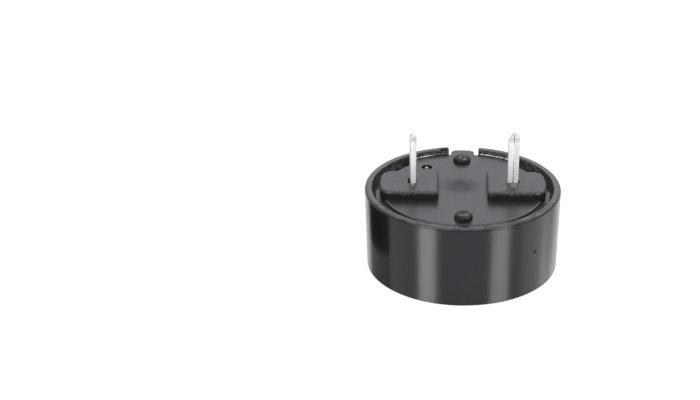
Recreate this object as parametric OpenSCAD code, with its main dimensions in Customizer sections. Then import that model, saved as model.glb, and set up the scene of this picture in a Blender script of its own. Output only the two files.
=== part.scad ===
// Piezo buzzer: a moulded cup with a sound hole, a diaphragm glued to a step
// inside it, and a snap-in base plate that carries two folded sheet terminals.
// It stands on its sound face with the pins up. X runs along the pins, +Y points
// to the notch in the rim, and the origin is the middle of the sound face.

/* [Case] */
// Outer diameter at the rim
case_d = 20; // [16:0.5:28]
// Height from the sound face to the rim
case_h = 8.55; // [7:0.05:14]
// Wall thickness at the rim
case_wall = 0.74; // [0.6:0.02:1.2]
// How much smaller the diameter is at the sound face
case_draft = 0.36; // [0:0.02:0.8]
// Thickness of the closed end
end_wall = 1; // [0.8:0.05:1.6]
// Radius of the edge round the sound face
face_edge_r = 0.1; // [0.05:0.05:0.6]
// Radius of the rim's inner edge
rim_edge_r = 0.1; // [0.04:0.02:0.2]
// Radius of the rim's outer edge
rim_outer_r = 0.32; // [0.05:0.01:0.4]

/* [Sound face] */
// Diameter of the sound hole
sound_hole_d = 4.3; // [2:0.1:6]
// Width of the plain ring round the textured disc, up to the case's edge
face_ring_w = 1.4; // [1:0.1:2.4]
// Depth of the textured disc below the plain ring
face_disc_drop = 0.12; // [0.05:0.01:0.3]

/* [Base plate] */
// Depth of the plate's face below the rim
plate_inset = 0.45; // [0.2:0.05:0.8]
// Thickness of the plate
plate_t = 1.1; // [0.9:0.05:1.6]
// Gap between the plate's flange and the case's wall
plate_gap = 0.3; // [0.1:0.05:0.4]
// Width of the flange round the raised disc
flange_w = 0.67; // [0.5:0.01:1]
// Depth of the flange's face below the disc's face
flange_drop = 0.3; // [0.2:0.05:0.5]
// The same depth at the back, under the snap beads there
back_flange_drop = 0.05; // [0.05:0.01:0.3]
// How far the case's shelf reaches in under the flange, from the wall
shelf_w = 0.5; // [0.45:0.05:0.8]
// Radius of the disc's upper edge
disc_edge_r = 0.28; // [0.1:0.02:0.3]
// Width of the tongue in the notch
tongue_w = 2.44; // [1.6:0.1:4]
// Mean gap on each side of the tongue
tongue_gap = 0.345; // [0.1:0.005:0.6]
// How far the tongue sits off the middle, towards +X
tongue_shift = 0.1; // [0:0.02:0.2]
// How far the notch sits off the tongue's middle, towards +X
notch_shift = 0.1; // [0:0.02:0.2]
// How far the tongue's end lies inside the rim's outer edge
tongue_setback = 0.05; // [0.05:0.05:0.5]

/* [Pads and bosses] */
// Height of the stand-off pads above the plate's face
pad_h = 0.94; // [0.5:0.05:1.5]
// Depth of the pads from front to back
pad_depth = 5.26; // [3:0.02:7]
// Distance from a pin's centre to the inner edge of its pad
pad_reach = 2.62; // [1.5:0.02:3]
// How far the pads' outer ends stand past the disc
pad_overhang = 0.2; // [0:0.05:0.3]
// Corner radius of the pads' outer ends
pad_corner_r = 1.2; // [0.4:0.1:1.5]
// Radius of the pads' upper edges
pad_edge_r = 0.36; // [0.05:0.01:0.45]
// Diameter of the front boss
front_boss_d = 1.85; // [1:0.05:2.5]
// Diameter of the back boss
back_boss_d = 1.85; // [1:0.05:2.5]
// Height of the bosses above the plate's face
boss_h = 0.5; // [0.2:0.02:0.8]
// Radius of the bosses' upper edges
boss_edge_r = 0.38; // [0.05:0.01:0.4]

/* [Pins] */
// Distance between the pins
pin_pitch = 10.16; // [7.62:0.01:12.7]
// Length of the pins above the pads
pin_length = 5.3; // [3:0.1:8]
// Width of a folded pin
pin_w = 1.14; // [0.9:0.02:1.4]
// Thickness of the sheet that the terminals are made of
sheet_t = 0.25; // [0.15:0.01:0.3]
// Hollow left between the two folded layers
fold_gap = 0.1; // [0.04:0.02:0.2]
// Open seam where the sheet's edges meet
seam_w = 0.08; // [0.04:0.01:0.12]
// Angle that the left pin is turned from the right one
left_pin_turn = 81; // [0:1:90]
// Clearance round a pin in its slot
slot_clearance = 0.03; // [0.02:0.01:0.2]
// Extra room in a slot on the pin's outer side
slot_play = 0.1; // [0:0.02:0.4]

/* [Sounder] */
// Depth of the chamber between the closed end and the diaphragm
chamber_h = 2.2; // [1:0.1:3]
// Thickness of the brass diaphragm
diaphragm_t = 0.2; // [0.1:0.05:0.3]
// Gap between the diaphragm's edge and the case
diaphragm_gap = 0.12; // [0.05:0.01:0.2]
// Width of the step that carries the diaphragm's edge
seat_w = 0.6; // [0.4:0.05:1]
// Diameter of the piezo ceramic
ceramic_d = 11.4; // [8:0.1:12]
// Thickness of the piezo ceramic
ceramic_t = 0.22; // [0.15:0.01:0.3]
// Radius of the adhesive bead round the diaphragm
bead_r = 0.5; // [0.3:0.05:0.7]

/* [Contact springs] */
// Width of a contact spring
spring_w = 1; // [0.6:0.1:1.6]
// Size of the shoulder that bears on the plate's underside
shoulder_w = 2.2; // [1.8:0.1:2.6]
// Bend radius of a contact spring, at its middle line
spring_bend_r = 0.4; // [0.3:0.05:0.7]
// Distance of the ceramic's contact from the middle
ceramic_contact_r = 2.2; // [1:0.1:3]

/* [Hidden] */
$fn = 144;
tiny = 0.01;

// levels, from the sound face up
seat_z = end_wall + chamber_h;
brass_z = seat_z + diaphragm_t;
ceramic_z = brass_z + ceramic_t;
plate_z = case_h - plate_inset;
shelf_z = plate_z - plate_t;
flange_z = plate_z - flange_drop;
back_flange_z = plate_z - back_flange_drop;
pad_z = plate_z + pad_h;
tip_z = pad_z + pin_length;

// radii, from the rim in
rim_r = case_d / 2;
foot_r = rim_r - case_draft / 2;
mouth_r = rim_r - case_wall;
flange_r = mouth_r - plate_gap;
disc_r = flange_r - flange_w;
pad_r = disc_r + pad_overhang;
tongue_r = rim_r - tongue_setback;
shelf_r = mouth_r - shelf_w;
diaphragm_r = shelf_r - diaphragm_gap;
seat_r = diaphragm_r - seat_w;
face_disc_r = foot_r - face_ring_w;
hole_r = sound_hole_d / 2;

// pins
pin_x = pin_pitch / 2;
pin_t = 2 * sheet_t + fold_gap;
pin_corner_r = 0.2;
// the tip tapers more on one end of the fold than on the other
wide_tip = [[0.45, 0.8], [0.1, 0.3]];
thin_tip = [[0.14, 0.4], [0.14, 0.4]];
pad_x = pin_x - pad_reach;

// snap beads start at these angles and hold the flange down on the shelf
bead_angles = [56, 98, 236, 278];
bead_span = 26;
snap_r = flange_r - 0.1;
snap_gap = 0.03;
snap_nose_r = 0.08;
snap_top_z = case_h - 0.18;

// the flange runs round the front half, and a higher one lies under the back beads
flange_end_y = 0.35;
flange_corner_r = 0.45;
flange_back_x = flange_r * cos(bead_angles[0] - 2);

// contacts: one on the ceramic, one on the brass between ceramic and bead
ceramic_reach = pin_x - ceramic_contact_r;
brass_contact_r = (ceramic_d / 2 + shelf_r - bead_r) / 2;
brass_reach = sqrt(pow(brass_contact_r, 2) - pow(pin_x, 2));
toe_angle = 35;
toe_length = 0.15;
bend_steps = 6;

module round_corner(centre, r) {
    translate(centre) circle(r);
}

// a block whose upper edges along Y are rounded, seen from the front
module rounded_top(half_w, low_z, high_z, r) {
    translate([-half_w, low_z]) square([2 * half_w, high_z - low_z - r]);
    translate([-half_w + r, low_z]) square([2 * (half_w - r), high_z - low_z]);
    for (side = [-1, 1]) round_corner([side * (half_w - r), high_z - r], r);
}

// a round plate or boss with a rounded upper edge, as a half section
module round_plate_section(r, low_z, high_z, edge_r) {
    translate([0, low_z]) square([r, high_z - low_z - edge_r]);
    translate([0, low_z]) square([r - edge_r, high_z - low_z]);
    round_corner([r - edge_r, high_z - edge_r], edge_r);
}

// sets a profile drawn in XZ upright and gives it a depth along Y
module upright(y0, y1) {
    translate([0, y1, 0]) rotate([90, 0, 0]) linear_extrude(y1 - y0) children();
}

module case_section() {
    foot_x = foot_r - face_edge_r;
    inner = [mouth_r + rim_edge_r, case_h - rim_edge_r];
    outer = [rim_r - rim_outer_r, case_h - rim_outer_r];
    polygon([
        [hole_r, face_disc_drop],
        [face_disc_r, face_disc_drop],
        [face_disc_r + face_disc_drop, 0],
        [foot_x, 0],
        [foot_x, face_edge_r],
        [foot_r, face_edge_r],
        [rim_r, outer[1]],
        outer,
        [outer[0], case_h],
        [inner[0], case_h],
        inner,
        [mouth_r, inner[1]],
        [mouth_r, shelf_z],
        [shelf_r, shelf_z],
        [shelf_r, seat_z],
        [seat_r, seat_z],
        [seat_r, end_wall],
        [hole_r, end_wall]
    ]);
    round_corner([foot_x, face_edge_r], face_edge_r);
    round_corner(inner, rim_edge_r);
    round_corner(outer, rim_outer_r);
}

// a ramp on the wall: the flange slides over it and catches under its round nose
module snap_beads() {
    for (a = bead_angles) {
        low_z = (a < 180 ? back_flange_z : flange_z) + snap_gap;
        nose = [snap_r + snap_nose_r, low_z + snap_nose_r];
        rotate([0, 0, a]) rotate_extrude(angle = bead_span) {
            polygon([
                [mouth_r + rim_edge_r, low_z],
                [nose[0], low_z],
                nose,
                [nose[0], low_z + 2 * snap_nose_r],
                [mouth_r, snap_top_z],
                [mouth_r + rim_edge_r, snap_top_z]
            ]);
            round_corner(nose, snap_nose_r);
        }
    }
}

// opening for the tongue, with rounded floor corners and rounded shoulders
module rim_notch() {
    half_w = tongue_w / 2 + tongue_gap;
    floor_z = shelf_z - tongue_gap / 2;
    floor_r = 0.2;
    shoulder_r = 0.4;
    translate([tongue_shift + notch_shift, 0, 0]) upright(seat_r, rim_r + 1) {
        translate([-half_w, floor_z + floor_r]) square([2 * half_w, case_h]);
        translate([floor_r - half_w, floor_z]) square([2 * (half_w - floor_r), case_h]);
        for (side = [-1, 1]) {
            round_corner([side * (half_w - floor_r), floor_z + floor_r], floor_r);
            difference() {
                translate([side * (half_w + shoulder_r / 2), case_h])
                    square([shoulder_r + 2 * tiny, 2 * shoulder_r], center = true);
                round_corner([side * (half_w + shoulder_r), case_h - shoulder_r], shoulder_r);
            }
        }
    }
}

module case() {
    relief_r = 0.45;
    color("#2c2d30") difference() {
        union() {
            rotate_extrude() case_section();
            snap_beads();
        }
        rim_notch();
        // small relief in the rim, opposite the notch
        translate([0, relief_r - 0.25 - mouth_r, flange_z])
            cylinder(h = case_h, r = relief_r);
    }
}

// a flange of the given height, cut to the outline that follows it
module flange_part(top_z) {
    intersection() {
        rotate_extrude() round_plate_section(flange_r, shelf_z, top_z, rim_edge_r);
        translate([0, 0, shelf_z - 1]) linear_extrude(plate_t + 1) children();
    }
}

module flange() {
    corner_y = flange_end_y - flange_corner_r;
    corner_x = sqrt(pow(flange_r - flange_corner_r, 2) - pow(corner_y, 2));
    flange_part(flange_z) {
        translate([-rim_r, -rim_r]) square([2 * rim_r, rim_r + corner_y]);
        translate([-corner_x, -rim_r]) square([2 * corner_x, rim_r + flange_end_y]);
        for (side = [-1, 1]) round_corner([side * corner_x, corner_y], flange_corner_r);
    }
    flange_part(back_flange_z)
        translate([-flange_back_x, 0]) square([2 * flange_back_x, rim_r]);
}

module tongue() {
    corner_r = 0.3;
    edge_r = 0.12;
    half_w = tongue_w / 2;
    intersection() {
        translate([tongue_shift, 0, 0])
            upright(disc_r / 2, rim_r) rounded_top(half_w, shelf_z, plate_z, edge_r);
        rotate_extrude() round_plate_section(tongue_r, shelf_z, plate_z, edge_r);
        translate([tongue_shift, 0, shelf_z]) linear_extrude(plate_t) {
            translate([-half_w, 0]) square([tongue_w, tongue_r - 2 * corner_r]);
            translate([corner_r - half_w, 0]) square([tongue_w - 2 * corner_r, rim_r]);
            for (side = [-1, 1])
                round_corner([side * (half_w - corner_r), tongue_r - 2 * corner_r], corner_r);
        }
    }
}

// plan limit of one pad towards the middle, its two corners rounded
module pad_inner_plan() {
    inner_x = pad_x + pad_edge_r;
    inner_y = pad_depth / 2 - pad_edge_r;
    translate([inner_x, -rim_r]) square([rim_r, 2 * rim_r]);
    translate([pad_x, -inner_y]) square([rim_r, 2 * inner_y]);
    for (side = [-1, 1]) round_corner([inner_x, side * inner_y], pad_edge_r);
}

// one pad: its outer end follows the plate's edge between two rounded corners
module pad() {
    low_z = shelf_z;
    corner_y = pad_depth / 2 - pad_corner_r;
    corner_x = sqrt(pow(pad_r - pad_corner_r, 2) - pow(corner_y, 2));
    turn = atan2(corner_y, corner_x);
    intersection() {
        union() {
            rotate([0, 0, 90]) upright(-corner_x, 0)
                rounded_top(pad_depth / 2, low_z, pad_z, pad_edge_r);
            rotate([0, 0, -turn]) rotate_extrude(angle = 2 * turn)
                round_plate_section(pad_r, low_z, pad_z, pad_edge_r);
            for (side = [-1, 1]) translate([corner_x, side * corner_y, 0])
                rotate([0, 0, side > 0 ? turn : -90]) rotate_extrude(angle = 90 - turn)
                    round_plate_section(pad_corner_r, low_z, pad_z, pad_edge_r);
        }
        // limits towards the middle, which reach past the pad below
        upright(-rim_r, rim_r) translate([pad_x + rim_r, 0])
            rounded_top(rim_r, low_z - 1, pad_z, pad_edge_r);
        translate([0, 0, low_z - 1]) linear_extrude(pad_z - low_z + 2) pad_inner_plan();
    }
}

module boss(d) {
    translate([0, 0, plate_z - tiny]) rotate_extrude()
        round_plate_section(d / 2, 0, boss_h + tiny, boss_edge_r);
}

// through slot: the pin's own outline with its clearance, longer on the outer side
module pin_slot(turn) {
    w = turn < 45 ? pin_w : pin_t;
    d = turn < 45 ? pin_t : pin_w;
    skew = abs(sin(2 * turn)) * (pin_w - pin_t) / 2;
    translate([-w / 2 - slot_clearance - skew, -d / 2 - slot_clearance, shelf_z - 1])
        cube([w + 2 * (slot_clearance + skew) + slot_play, d + 2 * slot_clearance, tip_z]);
}

// where the plate was gated: a small round dish with a stub left in it, joined to
// the plate at the front
module gate_mark() {
    dish_r = 0.58;
    dish_h = 0.28;
    stub_r = 0.2;
    translate([0, 0, plate_z - dish_h]) difference() {
        cylinder(h = 1, r = dish_r);
        translate([0, 0, -tiny]) {
            cylinder(h = dish_h - 0.04, r = stub_r);
            translate([-stub_r, -2 * dish_r, 0]) cube([2 * stub_r, 2 * dish_r, dish_h - 0.04]);
        }
    }
}

module base_plate() {
    front_y = disc_r - 0.8 - front_boss_d / 2;
    back_y = disc_r - 0.3 - back_boss_d / 2;
    color("#3a3b3e") difference() {
        union() {
            rotate_extrude() round_plate_section(disc_r, shelf_z, plate_z, disc_edge_r);
            flange();
            tongue();
            pad();
            mirror([1, 0, 0]) pad();
            translate([0, -front_y, 0]) boss(front_boss_d);
            translate([0, back_y, 0]) boss(back_boss_d);
        }
        translate([pin_x, 0, 0]) pin_slot(0);
        translate([-pin_x, 0, 0]) mirror([1, 0, 0]) pin_slot(left_pin_turn);
        translate([-3.7, 5.4, 0]) gate_mark();
    }
}

// section of a pin: the sheet folded flat on itself, its edges meeting in a seam
module pin_section() {
    inner_w = pin_w - 2 * sheet_t;
    difference() {
        union() {
            square([pin_w - 2 * pin_corner_r, pin_t], center = true);
            square([pin_w, pin_t - 2 * pin_corner_r], center = true);
            for (x = [-1, 1], y = [-1, 1])
                round_corner([x * (pin_w / 2 - pin_corner_r), y * (pin_t / 2 - pin_corner_r)],
                             pin_corner_r);
        }
        square([inner_w, fold_gap], center = true);
        translate([-seam_w / 2, -pin_t]) square([seam_w, pin_t]);
    }
}

// outline of a tip, its taper given as [width, height] for the left and right side
module tip_profile(w, low_z, taper) {
    left = taper[0];
    right = taper[1];
    polygon([[-w / 2, low_z], [w / 2, low_z], [w / 2, tip_z - right[1]],
             [w / 2 - right[0], tip_z], [left[0] - w / 2, tip_z], [-w / 2, tip_z - left[1]]]);
}

module pin() {
    low_z = shelf_z - sheet_t;
    intersection() {
        translate([0, 0, low_z]) linear_extrude(tip_z - low_z) pin_section();
        upright(-1, 1) tip_profile(pin_w, low_z, wide_tip);
        rotate([0, 0, 90]) upright(-1, 1) tip_profile(pin_t, low_z, thin_tip);
    }
}

// middle line of a spring as [u, z, heading]: out of the shoulder, round a bend, down
// the slope that meets both bends, and round the foot that touches at reach, contact_z
function spring_line(reach, contact_z) =
    let (r = spring_bend_r,
         top_z = shelf_z - sheet_t / 2,
         foot_z = contact_z + sheet_t / 2 + r,
         run = reach - shoulder_w / 2,
         drop = top_z - r - foot_z,
         a = atan2(drop, run) + asin(2 * r / norm([run, drop])))
    concat(
        [[0, top_z, 0]],
        [for (i = [0:bend_steps]) let (h = a * i / bend_steps)
            [shoulder_w / 2 + r * sin(h), top_z - r + r * cos(h), -h]],
        [for (h = [for (i = [0:bend_steps]) a * (i / bend_steps - 1), toe_angle / 2, toe_angle])
            [reach + r * sin(h), foot_z - r * cos(h), h]],
        [[reach + r * sin(toe_angle) + toe_length * cos(toe_angle),
          foot_z - r * cos(toe_angle) + toe_length * sin(toe_angle), toe_angle]]);

// the sheet's outline: half its thickness on each side of the middle line
function sheet_outline(line) =
    concat(
        [for (p = line) [p[0] - sin(p[2]) * sheet_t / 2, p[1] + cos(p[2]) * sheet_t / 2]],
        [for (i = [len(line) - 1:-1:0]) let (p = line[i])
            [p[0] + sin(p[2]) * sheet_t / 2, p[1] - cos(p[2]) * sheet_t / 2]]);

// a terminal: pin, square shoulder under the plate, and spring
module terminal(pin_turn, spring_turn, reach, contact_z) {
    rotate([0, 0, pin_turn]) pin();
    translate([-shoulder_w / 2, -shoulder_w / 2, shelf_z - sheet_t])
        cube([shoulder_w, shoulder_w, sheet_t]);
    rotate([0, 0, spring_turn]) upright(-spring_w / 2, spring_w / 2)
        polygon(sheet_outline(spring_line(reach, contact_z)));
}

module ceramic_terminal() {
    color("#cfcfca") translate([-pin_x, 0, 0])
        terminal(-left_pin_turn, 0, ceramic_reach, ceramic_z);
}

module brass_terminal() {
    color("#cfcfca") translate([pin_x, 0, 0])
        terminal(0, -90, brass_reach, brass_z);
}

module diaphragm() {
    color("#c9a24a") translate([0, 0, seat_z]) cylinder(h = diaphragm_t, r = diaphragm_r);
}

module piezo_disc() {
    color("#d8d6cc") translate([0, 0, brass_z]) cylinder(h = ceramic_t, d = ceramic_d);
}

module adhesive_ring() {
    color("#e4e2dc") rotate_extrude() intersection() {
        translate([shelf_r, brass_z]) circle(bead_r);
        translate([shelf_r - bead_r, brass_z]) square(bead_r);
    }
}

case();
base_plate();
ceramic_terminal();
brass_terminal();
diaphragm();
piezo_disc();
adhesive_ring();
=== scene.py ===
# Piezo buzzer standing on its sound face, pins up: looks, light and camera.
import math

import bpy
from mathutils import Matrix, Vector

mm = 0.001


def fromAngles(azimuth, elevation, distance):  # azimuth 0 is -Y, and it grows towards +X
    a, e = math.radians(azimuth), math.radians(elevation)
    return Vector((math.sin(a) * math.cos(e), -math.cos(a) * math.cos(e), math.sin(e))) * distance


# the camera comes first
cameraLook = {
    "target": (0, 0, 8.4),  # just under the middle of the rim
    "azimuth": -1.1,
    "elevation": 25.181,
    "distance": 160,
    "lens": 80.61,
    "sensor": 36,
    "clip": (0.005, 10),  # metres
    "aimRight": -5.711,  # the lens looks a little to the left of the target and below it
    "aimUp": -4.573,
    "shift": (-0.08, 0.0437),
}


def makeCamera(look):
    target = Vector(look["target"]) * mm
    place = target + fromAngles(look["azimuth"], look["elevation"], look["distance"] * mm)
    ahead = (target - place).normalized()
    right = ahead.cross(Vector((0, 0, 1))).normalized()
    up = right.cross(ahead)
    aim = target + right * look["aimRight"] * mm + up * look["aimUp"] * mm
    data = bpy.data.cameras.new("camera")
    data.lens, data.sensor_width = look["lens"], look["sensor"]
    data.shift_x, data.shift_y = look["shift"]
    data.clip_start, data.clip_end = look["clip"]
    camera = bpy.data.objects.new("camera", data)
    bpy.context.scene.collection.objects.link(camera)
    camera.location = place
    camera.rotation_euler = (aim - place).to_track_quat("-Z", "Y").to_euler()
    bpy.context.scene.camera = camera


makeCamera(cameraLook)
print("camera made")
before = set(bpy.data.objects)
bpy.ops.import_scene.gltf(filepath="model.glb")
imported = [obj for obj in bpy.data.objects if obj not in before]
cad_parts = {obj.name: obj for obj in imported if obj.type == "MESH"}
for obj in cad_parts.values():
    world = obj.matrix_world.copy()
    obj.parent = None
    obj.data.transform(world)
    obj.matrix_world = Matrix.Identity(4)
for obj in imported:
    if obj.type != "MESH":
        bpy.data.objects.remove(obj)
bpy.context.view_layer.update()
print("frame loaded:", len(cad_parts), "pieces")


def topOf(node):  # a piece's highest point, in millimetres
    return max(vertex.co.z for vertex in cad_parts[node].data.vertices) / mm


def radiusOf(node):  # a piece's reach from the upright axis, in millimetres
    return max(vertex.co.xy.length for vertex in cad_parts[node].data.vertices) / mm


class Value:  # a shader socket that can stand in Python sums
    def __init__(self, tree, socket=None):
        self.tree, self.socket = tree, socket

    def node(self, kind, settings=None, inputs=None, output=0):
        made = self.tree.nodes.new("ShaderNode" + kind)
        for name, value in (settings or {}).items():
            setattr(made, name, value)
        for name, value in (inputs or {}).items():
            if isinstance(value, Value):
                self.tree.links.new(value.socket, made.inputs[name])
            else:
                made.inputs[name].default_value = value
        return Value(self.tree, made.outputs[output] if made.outputs else None)

    def reckon(self, operation, first, second=0):
        return self.node("Math", {"operation": operation}, {0: first, 1: second})

    def __add__(self, other):
        return self.reckon("ADD", self, other)

    def __radd__(self, other):
        return self.reckon("ADD", other, self)

    def __sub__(self, other):
        return self.reckon("SUBTRACT", self, other)

    def __rsub__(self, other):
        return self.reckon("SUBTRACT", other, self)

    def __mul__(self, other):
        return self.reckon("MULTIPLY", self, other)

    def __rmul__(self, other):
        return self.reckon("MULTIPLY", other, self)

    def __gt__(self, other):
        return self.reckon("GREATER_THAN", self, other)

    def __lt__(self, other):
        return self.reckon("LESS_THAN", self, other)

    def __abs__(self):
        return self.reckon("ABSOLUTE", self)

    def atLeast(self, other):
        return self.reckon("MAXIMUM", self, other)

    def atMost(self, other):
        return self.reckon("MINIMUM", self, other)

    def between(self, low, high):  # numbers: low where this is 0, high where it is 1
        return low + self * (high - low)

    def swing(self, width):  # noise as a change to either side of nothing
        return (self - 0.5) * width

    def ramp(self, low, high):  # 0 at low, 1 at high, eased at both ends
        return self.node("MapRange", {"interpolation_type": "SMOOTHSTEP"},
                         {"Value": self, "From Min": low, "From Max": high})

    def scaled(self, factors):  # a vector times a vector
        return self.node("VectorMath", {"operation": "MULTIPLY"}, {0: self, 1: factors})

    def part(self, axis):
        return self.node("SeparateXYZ", None, {0: self}, "XYZ".index(axis))

    def noise(self, scale, detail, roughness):
        return self.node("TexNoise", None, {"Vector": self, "Scale": scale, "Detail": detail,
                                            "Roughness": roughness})

    def spots(self, scale, detail, roughness, low, high):  # noise that fades in from low to high
        return self.noise(scale, detail, roughness).ramp(low, high)

    def mixed(self, first, second):  # this is the mask, first and second are colours
        # a Mix node keeps its colour sockets behind the float and vector ones
        return self.node("Mix", {"data_type": "RGBA"}, {0: self, 6: first, 7: second}, 2)

    def bump(self, strength, height, under=None):  # height in millimetres
        inputs = {"Height": self, "Strength": strength, "Distance": height * mm}
        if under:
            inputs["Normal"] = under
        return self.node("Bump", None, inputs)


def newMaterial(name):
    material = bpy.data.materials.new(name)
    material.use_nodes = True
    material.node_tree.nodes.clear()
    return material, Value(material.node_tree)


def blend(factor, first, second):  # two shaders
    return first.node("MixShader", None, {0: factor, 1: first, 2: second})


def finishShader(shader, kind="OutputMaterial"):
    shader.node(kind, None, {"Surface": shader})


def dress(node, material):
    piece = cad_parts[node]
    piece.data.materials.clear()
    piece.data.materials.append(material)


def grey(value):
    return (value, value, value, 1)


def millimetres(start):  # place on the piece, in millimetres
    return start.node("TexCoord", output="Object").scaled((1 / mm, 1 / mm, 1 / mm))


def fromAxis(place):  # distance from the part's upright axis
    flat = place.scaled((1, 1, 0))
    return flat.node("VectorMath", {"operation": "LENGTH"}, {0: flat}, "Value")


def near(place, spot):  # distance from a spot's upright axis, in radii of the spot
    x, y, radius = spot
    away = place.node("VectorMath", {"operation": "SUBTRACT"}, {0: place, 1: (x, y, 0)})
    return fromAxis(away) * (1 / radius)


def patch(place, spot, core, edge=1):  # 1 in the core of a spot, 0 past its edge, both in its radii
    return 1 - near(place, spot).ramp(core, edge)


# dull plastic: it mirrors next to nothing, and the case and the plate are mixed with it in places
dullLook = {"roughness": 0.4, "ior": 1.12}


def dullPlastic(start, colour, normal):
    return start.node("BsdfPrincipled", None, {
        "Base Color": colour, "Roughness": dullLook["roughness"], "Normal": normal,
        "IOR": dullLook["ior"]})


# A pattern's numbers are its noise's scale per millimetre, detail and roughness. Where two more
# follow, the pattern fades in from the first of them to the second.

# case: glossy black moulding with a spark-textured disc in the sound face
caseLook = {
    "colour": (0.005, 0.005, 0.0062, 1),
    "roughness": 0.2,
    "ior": 1.45,
    "drawMarks": (5, 3, 0.6),  # long lines down the wall
    "drawStretch": (1, 1, 0.08),
    "drawSwing": 0.07,
    "cloud": (0.35, 3, 0.6),
    "cloudSwing": 0.06,
    "ripple": (0.9, 2, 0.5),
    "rippleStrength": 0.06,
    "rippleHeight": 0.1,
    # sound face
    "discRadius": 8.43,
    "discDepth": 0.2,
    "discColour": (0.021, 0.021, 0.025, 1),
    "discRoughness": 0.62,
    "grain": (9, 2, 0.55),
    "grainLevels": (0.35, 0.7),
    "grainColour": (0.052, 0.052, 0.056, 1),
    "grainSwing": 0.25,
    "grainHeight": 0.03,
    "discSpecks": (20.7, 1, 0.4, 0.64, 0.7),
    "discSpeckShare": 0.6,
    "lineWidth": 0.08,  # a pale line round the disc: dust in its corner, and painted highlight along the disc's edge
    "lineColour": grey(0.11),
    # inside of the mouth: widths are counted inwards from the outer wall, depths down from the rim
    "mouthWidth": 0.71,
    "dullWidth": 0.81,
    "noseWidth": 1,  # the snap beads' noses
    "edgeDepth": 0.05,
    "shelfDepth": 1.65,
    "scuffAndHighlightDepth": (0.62, 0.335),  # the noses are pale below this, at the front and at the back: scuffs, and painted highlight along the noses
    "scuffAndHighlightShare": (0.3, 1),
    "scuffsAndHighlight": (5, 4, 0.75, 0.36, 0.56),
    "scuffAndHighlightColour": (0.62, 0.62, 0.6, 1),
    "backFrom": 6.8,  # the beads beside the notch lie beyond this Y
    "fewMarks": (-3, 2),  # between these X the back beads have few of the pale marks
    "fewMarksShare": 0.85,
    "insideColour": (0.012, 0.012, 0.013, 1),
    "insideRoughness": 0.42,
    "mottle": (6, 3, 0.7),
    "dullBase": 0.5,
    "dullMottle": (0.5, 1.2),  # front and back
    "stains": (2.5, 3, 0.65, 0.42, 0.6),  # front
    "stainColour": grey(0.055),
    "backShadeLevels": (0.35, 0.6),  # back: painted shade, near black, in mottled patches on the inside
    "backShadeColour": grey(0.003),
    "backSpecks": (9, 2, 0.5, 0.6, 0.68),
    "backSpeckShare": 0.7,
    "speckColour": grey(0.2),
    # rim and wall
    "rubDepth": 0.25,
    "rubFrom": -4,  # the rim is rubbed dull in front of this Y
    "rub": (1.6, 2, 0.5, 0.25, 0.7),
    "rubShare": 0.5,
    "rimDullSpots": ((-1.7, 9.45, 0.95), (0.15, -9.15, 0.7)),  # x, y and radius: dull, darker spots on the rim; the second is painted shade in front of the front boss
    "rimDullSpotCore": 0.6,
    "rimDullSpotShare": 0.85,
    "nick": (7.2, -6.95, 4.6),
    "nickPale": (0.06, 0.14),  # distances from the nick
    "nickDull": (0.2, 0.26),
    "nickColour": grey(0.12),
}


def caseZones(look, place):
    radius, height = fromAxis(place), place.part("Z")
    wall, rim = radiusOf("case"), topOf("case")
    low = height < look["discDepth"]
    disc = (radius < look["discRadius"]) * low
    line = (radius > look["discRadius"]) * (radius < look["discRadius"] + look["lineWidth"]) * low
    mouth = height > rim - look["shelfDepth"]
    inside = (radius < wall - look["mouthWidth"]) * mouth * (height < rim - look["edgeDepth"])
    return {
        "disc": disc, "line": line, "mouth": mouth, "inside": inside,
        "dull": inside * (radius < wall - look["dullWidth"]),
        "noses": inside * (radius < wall - look["noseWidth"]),
        "back": place.part("Y") > look["backFrom"],
        "rubbed": (height > rim - look["rubDepth"]) * (place.part("Y") < look["rubFrom"]),
    }


# pale marks on the snap beads' noses: scuffs, and painted highlight standing in for the bright line
# the light draws along them
def caseScuffsAndHighlight(look, place, zones):
    back, across = zones["back"], place.part("X")
    front, behind = (topOf("case") - depth for depth in look["scuffAndHighlightDepth"])
    scuffsAndHighlight = zones["noses"] * (place.part("Z") < back.between(front, behind))
    scuffsAndHighlight = scuffsAndHighlight * place.spots(*look["scuffsAndHighlight"]) * back.between(*look["scuffAndHighlightShare"])
    first, last = look["fewMarks"]
    return scuffsAndHighlight * (1 - back * (across > first) * (across < last) * look["fewMarksShare"])


def caseTone(look, place, zones, grain, mottle, nick):
    disc, inside, back = zones["disc"], zones["inside"], zones["back"]
    tone = disc.mixed(look["colour"], look["discColour"])
    tone = (disc * grain.ramp(*look["grainLevels"])).mixed(tone, look["grainColour"])
    specks = disc * place.spots(*look["discSpecks"]) * look["discSpeckShare"]
    tone = specks.mixed(tone, look["speckColour"])
    # pale line round the disc: dust and painted highlight
    tone = zones["line"].mixed(tone, look["lineColour"])
    tone = inside.mixed(tone, look["insideColour"])
    stains = inside * (1 - back) * place.spots(*look["stains"])
    tone = stains.mixed(tone, look["stainColour"])
    # painted shade: mottled near-black patches inside the mouth at the back
    tone = (inside * back * mottle.ramp(*look["backShadeLevels"])).mixed(tone, look["backShadeColour"])
    specks = inside * back * place.spots(*look["backSpecks"]) * look["backSpeckShare"]
    tone = specks.mixed(tone, look["speckColour"])
    # pale noses: scuffs with painted highlight
    tone = caseScuffsAndHighlight(look, place, zones).mixed(tone, look["scuffAndHighlightColour"])
    return (1 - nick.ramp(*look["nickPale"])).mixed(tone, look["nickColour"])


def caseRoughness(look, place, zones, grain):
    drawMarks = place.scaled(look["drawStretch"]).noise(*look["drawMarks"])
    cloud = place.noise(*look["cloud"])
    wall = look["roughness"] + drawMarks.swing(look["drawSwing"]) + cloud.swing(look["cloudSwing"])
    sparked = look["discRoughness"] + grain.swing(look["grainSwing"])
    return zones["inside"].between(zones["disc"].between(wall, sparked), look["insideRoughness"])


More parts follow.
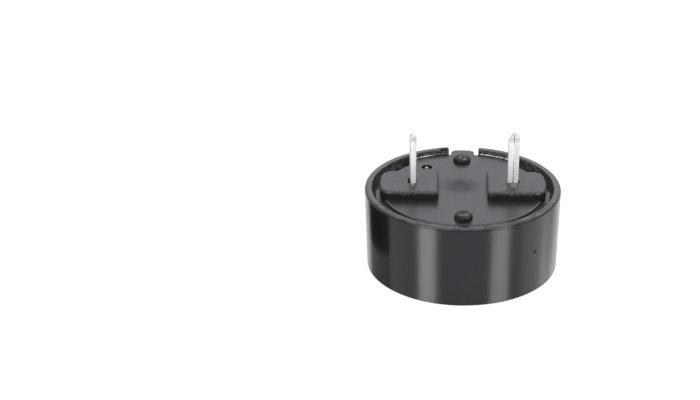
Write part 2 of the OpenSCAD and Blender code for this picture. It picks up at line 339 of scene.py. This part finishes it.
def caseDullness(look, place, zones, mottle, nick):
    dull = zones["dull"] * (look["dullBase"] + mottle * zones["back"].between(*look["dullMottle"]))
    dull = dull.atLeast(zones["rubbed"] * place.spots(*look["rub"]) * look["rubShare"])
    # dull spots on the rim; the one in front of the front boss is painted shade
    for spot in look["rimDullSpots"]:
        rimDullSpot = patch(place, spot, look["rimDullSpotCore"]) * zones["mouth"]
        dull = dull.atLeast(rimDullSpot * look["rimDullSpotShare"])
    return dull.atLeast(1 - nick.ramp(*look["nickDull"]))


def makeCase(look):
    material, start = newMaterial("glossyCasePlastic")
    place = millimetres(start)
    zones = caseZones(look, place)
    grain = place.noise(*look["grain"])
    mottle = place.noise(*look["mottle"])
    nick = place.node("VectorMath", {"operation": "DISTANCE"}, {0: place, 1: look["nick"]}, "Value")
    ripple = place.noise(*look["ripple"]).bump(look["rippleStrength"], look["rippleHeight"])
    normal = (grain * zones["disc"]).bump(1, look["grainHeight"], ripple)
    tone = caseTone(look, place, zones, grain, mottle, nick)
    plastic = start.node("BsdfPrincipled", None, {
        "Base Color": tone, "Roughness": caseRoughness(look, place, zones, grain),
        "Normal": normal, "IOR": look["ior"]})
    dull = caseDullness(look, place, zones, mottle, nick)
    finishShader(blend(dull, plastic, dullPlastic(start, tone, normal)))
    dress("case", material)


# base plate: the same plastic with a satin skin
plateLook = {
    "colour": (0.0085, 0.0085, 0.0098, 1),
    "roughness": 0.3,
    "ior": 1.37,
    "skin": (6, 3, 0.6),
    "skinSwing": 0.1,
    "skinStrength": 0.6,
    "skinHeight": 0.004,
    "cloud": (0.4, 3, 0.6),
    "cloudSwing": 0.16,
    "dust": (14, 1, 0.3, 0.73, 0.8),
    "dustShare": 0.35,
    "dustColour": grey(0.12),
    "padHeight": 0.94,  # from the plate's face to the pads' tops
    # painted sparkle speckling the pads' front edges, painted reflections of the pins on the pads in
    # front of them
    "sparkleDepth": 0.42,  # below the pads' tops
    "sparkleFrom": -2.3,  # in front of this Y
    "sparkle": (7, 2, 0.6, 0.6, 0.7),
    "sparkleColour": grey(0.14),
    "pinReflections": ((-5.1, -0.75, 0.32), (5.15, -0.8, 0.45)),  # x, y and radius
    "pinReflectionCore": 0.4,
    "pinReflectionLength": 2,  # times its width
    "pinReflectionNoise": (5, 2, 0.5),
    "pinReflectionColour": grey(0.13),
    "gateGlint": (-3.73, 5.5, 0.14),  # a painted highlight: a pale dot in the middle of the gate mark
    "gateGlintCore": 0.5,
    "gateGlintColour": grey(0.4),
    # bosses: dull, with glints on the front one; pale specks on both and flecks on the back one are
    # painted glints
    "bosses": ((0, -6.565, 0.95), (0, 7.065, 0.95)),
    "bossFrom": 0.02,  # above the plate's face
    "bossColour": (0.008, 0.008, 0.0085, 1),
    "bossRoughness": 0.24,
    "bossDullness": 0.93,
    "lumps": (3, 2, 0.6),
    "lumpStrength": 0.5,
    "lumpHeight": 0.03,
    "glints": ((-0.3, -6.865, 0.22), (0.02, -6.925, 0.16), (0.32, -6.825, 0.26)),
    "glintEdges": (0.6, 1.2),
    "bossGlintSpecks": (8, 2, 0.6, 0.6, 0.7),
    "bossGlintSpeckColour": grey(0.08),
    "glintFleckSpot": (0.12, 6.95, 0.62),
    "glintFlecks": (6, 2, 0.6, 0.56, 0.64),
    "glintFleckColour": grey(0.13),
    # duller places on the face
    # a duller, darker patch in the middle of the face, between the pads
    "middlePatch": (-0.2, 0.9, 2.6),
    "middlePatchCore": 0.2,
    "middlePatchNoise": (1.5, 4, 0.7),
    "middlePatchShare": 1.15,
    "wipeStretch": (0.6, 1.4, 1),
    "wipes": (2.6, 4, 0.7, 0.42, 0.75),
    "wipeShare": 0.2,
    "shade": (0, -7.7, 1),  # in front of the front boss
    "shadeCore": 0.5,
    "shadeShare": 0.75,
}


def plateTone(look, place):
    tone = (place.spots(*look["dust"]) * look["dustShare"]).mixed(look["colour"], look["dustColour"])
    # painted sparkle: pale specks along the pads' front edges
    sparkle = place.part("Z") > topOf("base_plate") - look["sparkleDepth"]
    sparkle = sparkle * (place.part("Y") < look["sparkleFrom"]) * place.spots(*look["sparkle"])
    tone = sparkle.mixed(tone, look["sparkleColour"])
    # painted reflections of the pins: pale streaks on the pads in front of them
    squeeze = 1 / look["pinReflectionLength"]
    for x, y, radius in look["pinReflections"]:
        reflection = patch(place.scaled((1, squeeze, 1)), (x, y * squeeze, radius), look["pinReflectionCore"])
        tone = (reflection * place.noise(*look["pinReflectionNoise"])).mixed(tone, look["pinReflectionColour"])
    # painted highlight in the middle of the gate mark
    return patch(place, look["gateGlint"], look["gateGlintCore"]).mixed(tone, look["gateGlintColour"])


# painted glints: pale specks on the bosses and flecks on the back boss's top
def bossTone(look, place, boss):
    tone = (boss * place.spots(*look["bossGlintSpecks"])).mixed(look["bossColour"], look["bossGlintSpeckColour"])
    glintFlecks = boss * (near(place, look["glintFleckSpot"]) < 1) * place.spots(*look["glintFlecks"])
    return glintFlecks.mixed(tone, look["glintFleckColour"])


def plateDullness(look, place, boss):
    glint = sum(patch(place, spot, *look["glintEdges"]) for spot in look["glints"])
    middlePatch = patch(place, look["middlePatch"], look["middlePatchCore"]) * place.noise(*look["middlePatchNoise"])
    wipes = place.scaled(look["wipeStretch"]).spots(*look["wipes"]) * look["wipeShare"]
    shade = patch(place, look["shade"], look["shadeCore"]) * look["shadeShare"]
    return boss.between(middlePatch * look["middlePatchShare"] + wipes + shade,
                        (1 - glint) * look["bossDullness"])


def makePlate(look):
    material, start = newMaterial("satinPlatePlastic")
    place = millimetres(start)
    skin, cloud = place.noise(*look["skin"]), place.noise(*look["cloud"])
    face = topOf("base_plate") - look["padHeight"]
    boss = sum(near(place, spot) < 1 for spot in look["bosses"])
    boss = boss * (place.part("Z") > face + look["bossFrom"])
    satin = look["roughness"] + skin.swing(look["skinSwing"]) + cloud.swing(look["cloudSwing"])
    lumps = (place.noise(*look["lumps"]) * boss).bump(look["lumpStrength"], look["lumpHeight"])
    normal = skin.bump(look["skinStrength"], look["skinHeight"], lumps)
    plastic = start.node("BsdfPrincipled", None, {
        "Base Color": plateTone(look, place), "Roughness": boss.between(satin, look["bossRoughness"]),
        "Normal": normal, "IOR": look["ior"]})
    dull = dullPlastic(start, bossTone(look, place, boss), normal)
    finishShader(blend(plateDullness(look, place, boss), plastic, dull))
    dress("base_plate", material)


# terminals: tinned sheet, drawn along its length, with painted shade on the faces turned to the sides
# and on the right pin's right half
sheetLook = {
    "colour": (0.69, 0.665, 0.615, 1),
    # dull patches, and painted shade on the right pin's right half
    "dullAndShadedColour": (0.565, 0.545, 0.505, 1),
    "roughness": 0.5,
    "metal": 0.45,
    "lines": (16, 4, 0.65),
    "lineStretch": (1, 1, 0.06),
    "lineSwing": 0.06,
    "lineStrength": 0.06,
    "lineHeight": 0.002,
    "patches": (1.6, 3, 0.6, 0.42, 0.72),
    "patchShare": 0.6,
    "patchRoughness": 0.06,
    # the right pin, whose open seam faces the front
    "seam": 5.08,  # x of the pin's middle
    "seamHalf": 0.0775,
    # painted light: the open seam is lifted to near white against the shade inside it
    "seamLightColour": grey(0.98),
    # depths below the pins' tips: each tone changes upwards from the first to the second
    "footDepths": (5.84, 1.84),
    "footColour": grey(0.5),
    # painted shade on the faces turned to the sides
    "sideShadeDepths": (4.84, 1.34),
    "sideShadeColours": (grey(0.16), (0.36, 0.36, 0.345, 1)),
    "sideFacing": 0.837,  # how far a side's normal leans along X
    "sideFrom": 0.245,  # a side lies this far from the seam
    "tipDepths": (1.04, 0.44),
    "tipNoise": (3, 2, 0.5),
    "tipShares": (0.6, 1.4),
    "tipColour": (0.42, 0.42, 0.4, 1),
}


def makeSheet(look):
    material, start = newMaterial("tinnedSheet")
    place = millimetres(start)
    lines = place.scaled(look["lineStretch"]).noise(*look["lines"])
    patches = place.spots(*look["patches"])
    depth = topOf("brass_terminal") - place.part("Z")
    across = place.part("X") - look["seam"]
    facing = start.node("NewGeometry", None, None, "Normal").part("X")
    side = (abs(facing) > look["sideFacing"]) * (abs(across) > look["sideFrom"])
    tone = (patches * look["patchShare"]).mixed(look["colour"], look["dullAndShadedColour"])
    # painted shade on the right half of the right pin
    tone = (across > 0).mixed(tone, look["dullAndShadedColour"])
    # painted light in the open seam
    tone = (abs(across) < look["seamHalf"]).mixed(tone, look["seamLightColour"])
    tone = depth.ramp(*look["footDepths"]).mixed(look["footColour"], tone)
    # painted shade on the side faces
    tone = side.mixed(tone, depth.ramp(*look["sideShadeDepths"]).mixed(*look["sideShadeColours"]))
    tip = depth.ramp(*look["tipDepths"]) * place.noise(*look["tipNoise"]).between(*look["tipShares"])
    tone = tip.atMost(1).mixed(tone, look["tipColour"])
    roughness = look["roughness"] + lines.swing(look["lineSwing"]) + patches * look["patchRoughness"]
    finishShader(start.node("BsdfPrincipled", None, {
        "Base Color": tone, "Roughness": roughness, "Metallic": look["metal"],
        "Normal": lines.bump(look["lineStrength"], look["lineHeight"])}))
    dress("ceramic_terminal", material)
    dress("brass_terminal", material)


# diaphragm: rolled brass, a little tarnished
diaphragmLook = {
    "colour": (0.78, 0.58, 0.27, 1),
    "tarnishColour": (0.5, 0.34, 0.14, 1),
    "tarnish": (0.5, 4, 0.6, 0.45, 0.8),
    "tarnishShare": 0.5,
    "lines": (12, 3, 0.6),
    "lineStretch": (0.05, 1, 1),
    "lineStrength": 0.3,
    "lineHeight": 0.004,
    "roughness": (0.26, 0.42),
}


def makeDiaphragm(look):
    material, start = newMaterial("rolledBrass")
    place = millimetres(start)
    lines = place.scaled(look["lineStretch"]).noise(*look["lines"])
    tarnish = place.spots(*look["tarnish"]) * look["tarnishShare"]
    finishShader(start.node("BsdfPrincipled", None, {
        "Base Color": tarnish.mixed(look["colour"], look["tarnishColour"]), "Metallic": 1,
        "Roughness": lines.between(*look["roughness"]),
        "Normal": lines.bump(look["lineStrength"], look["lineHeight"])}))
    dress("diaphragm", material)


# ceramic: silvered, with a bare margin
ceramicLook = {
    "colour": (0.6, 0.57, 0.48, 1),
    "silverColour": (0.78, 0.77, 0.74, 1),
    "margin": 0.4,
    "marginBlur": 0.04,
    "silverMetal": 0.85,
    "cloud": (2.2, 4, 0.6),
    "cloudStrength": 0.4,
    "cloudHeight": 0.006,
    "roughness": (0.42, 0.62),
}


def makeCeramic(look):
    material, start = newMaterial("silveredCeramic")
    place = millimetres(start)
    edge, blur = radiusOf("piezo_disc") - look["margin"], look["marginBlur"]
    silver = 1 - fromAxis(place).ramp(edge - blur, edge + blur)
    cloud = place.noise(*look["cloud"])
    finishShader(start.node("BsdfPrincipled", None, {
        "Base Color": silver.mixed(look["colour"], look["silverColour"]),
        "Metallic": silver * look["silverMetal"], "Roughness": cloud.between(*look["roughness"]),
        "Normal": cloud.bump(look["cloudStrength"], look["cloudHeight"])}))
    dress("piezo_disc", material)


# adhesive: a bead of silicone
adhesiveLook = {
    "colours": ((0.66, 0.65, 0.6, 1), (0.74, 0.73, 0.69, 1)),
    "lumps": (0.8, 3, 0.5),
    "lumpStrength": 0.5,
    "lumpHeight": 0.05,
    "roughness": (0.34, 0.48),
}


def makeAdhesive(look):
    material, start = newMaterial("siliconeBead")
    lumps = millimetres(start).noise(*look["lumps"])
    finishShader(start.node("BsdfPrincipled", None, {
        "Base Color": lumps.mixed(*look["colours"]),
        "Roughness": lumps.between(*look["roughness"]),
        "Normal": lumps.bump(look["lumpStrength"], look["lumpHeight"])}))
    dress("adhesive_ring", material)


makeCase(caseLook)
makePlate(plateLook)
makeSheet(sheetLook)
makeDiaphragm(diaphragmLook)
makeCeramic(ceramicLook)
makeAdhesive(adhesiveLook)
print("materials made")


def makePanel(name, corners, material):
    mesh = bpy.data.meshes.new(name)
    mesh.from_pydata([[c * mm for c in corner] for corner in corners], [], [(0, 1, 2, 3)])
    mesh.materials.append(material)
    panel = bpy.data.objects.new(name, mesh)
    bpy.context.scene.collection.objects.link(panel)
    return panel


# table: a plain white sheet with a soft gloss, plain white to the camera
tableLook = {
    "half": 1500,
    "drop": 0.01,  # below the sound face
    "colour": grey(0.62),
    "gloss": 0.73,
    "glossRoughness": 0.1,
    "glow": 1.015,
    "shadow": 0.12,  # share of the matt sheet, with its shadow, in what the camera sees
}


def makeTable(look):
    material, start = newMaterial("whiteTable")
    matt = start.node("BsdfDiffuse", None, {"Color": look["colour"]})
    gloss = start.node("BsdfGlossy", None, {
        "Color": look["colour"], "Roughness": look["glossRoughness"]})
    glow = start.node("Emission", None, {"Color": grey(1), "Strength": look["glow"]})
    toCamera = start.node("LightPath", None, None, "Is Camera Ray")
    seen = blend(look["shadow"], glow, matt)
    finishShader(blend(toCamera, blend(look["gloss"], matt, gloss), seen))
    half, z = look["half"], -look["drop"]
    table = makePanel("table", [(-half, -half, z), (half, -half, z), (half, half, z),
                                (-half, half, z)], material)


# dark card at the left: it only shows in mirrors, and it throws no shadow
cardLook = {"x": -14, "y": (-6, 3.2), "height": 6.5, "colour": grey(0.01)}


def makeCard(look):
    material, start = newMaterial("blackCard")
    finishShader(start.node("BsdfDiffuse", None, {"Color": look["colour"]}))
    x, (front, back), z = look["x"], look["y"], look["height"]
    card = makePanel("darkCard", [(x, front, 0), (x, back, 0), (x, back, z), (x, front, z)], material)
    for ray in ("camera", "diffuse", "transmission", "volume_scatter", "shadow"):
        setattr(card, "visible_" + ray, False)


# light tent: brightness at the horizon and overhead, and the heights between them
tentLook = {"side": 0.8, "top": 3.2, "from": 0.4, "to": 0.85, "colour": (0.925, 0.955, 1, 1)}


def makeWorld(look):
    world = bpy.data.worlds.new("studio")
    bpy.context.scene.world = world
    world.use_nodes = True
    world.node_tree.nodes.clear()
    start = Value(world.node_tree)
    toCamera = start.node("LightPath", None, None, "Is Camera Ray")
    rise = start.node("TexCoord").part("Z").ramp(look["from"], look["to"])
    room = start.node("Background", None, {
        "Color": look["colour"], "Strength": rise.between(look["side"], look["top"])})
    backdrop = start.node("Background", None, {"Color": grey(1), "Strength": 1})
    finishShader(blend(toCamera, room, backdrop), "OutputWorld")


# soft boxes: azimuth, elevation, distance, width, height, brightness as seen in a mirror, colour
white, coolWhite = (1, 1, 1), (0.965, 0.98, 1)
softBoxes = {
    "backPanel": (180, 30, 500, 700, 260, 0.9, coolWhite),
    "leftStrip": (-41.8, 25, 420, 133, 170, 11.8, white),
    "rightStrip": (45.3, 25, 420, 138, 170, 9.3, white),
    "rightSide": (98, 25, 420, 300, 170, 1.2, white),
    "leftBack": (-112, 42, 460, 240, 160, 1.7, white),
    "rightBack": (127, 40, 460, 260, 180, 2.5, white),
}


def makeSoftBox(name, azimuth, elevation, distance, width, height, brightness, colour):
    data = bpy.data.lights.new(name, "AREA")
    data.shape = "RECTANGLE"
    data.size, data.size_y = width * mm, height * mm
    data.color = colour
    data.energy = brightness * math.pi * data.size * data.size_y
    lamp = bpy.data.objects.new(name, data)
    bpy.context.scene.collection.objects.link(lamp)
    lamp.location = fromAngles(azimuth, elevation, distance * mm)
    lamp.rotation_euler = (-lamp.location).to_track_quat("-Z", "Y").to_euler()
    lamp.visible_camera = False


makeTable(tableLook)
makeCard(cardLook)
makeWorld(tentLook)
for name, box in softBoxes.items():
    makeSoftBox(name, *box)
bpy.context.scene.view_settings.view_transform = "Standard"
print("table, card, world and", len(softBoxes), "soft boxes made")
